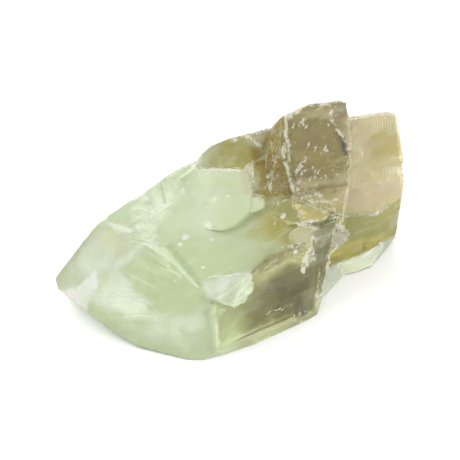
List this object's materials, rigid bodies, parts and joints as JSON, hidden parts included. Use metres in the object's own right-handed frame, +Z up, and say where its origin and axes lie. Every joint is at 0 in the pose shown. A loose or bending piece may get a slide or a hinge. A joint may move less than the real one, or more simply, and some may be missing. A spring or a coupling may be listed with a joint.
{
  "type": "rough green calcite",
  "caption": "Broken lump of rough green calcite: grown-together cleavage blocks with a chisel-shaped end, stepped plates and a flat face to rest on.",
  "frame": {"origin": "middle of the bounding box, at the level of the flat face that the stone rests on", "axes": "+X along the stone from its chisel end to its broken block end, +Z up from the resting face"},
  "size_m": [0.0918, 0.0568, 0.0434],
  "materials": {
    "green_calcite": "translucent milky green calcite, glassy to pearly on cleavage faces, whitish where chipped"
  },
  "bodies": {
    "root": {"calcite": "green_calcite"}
  },
  "joints": []
}
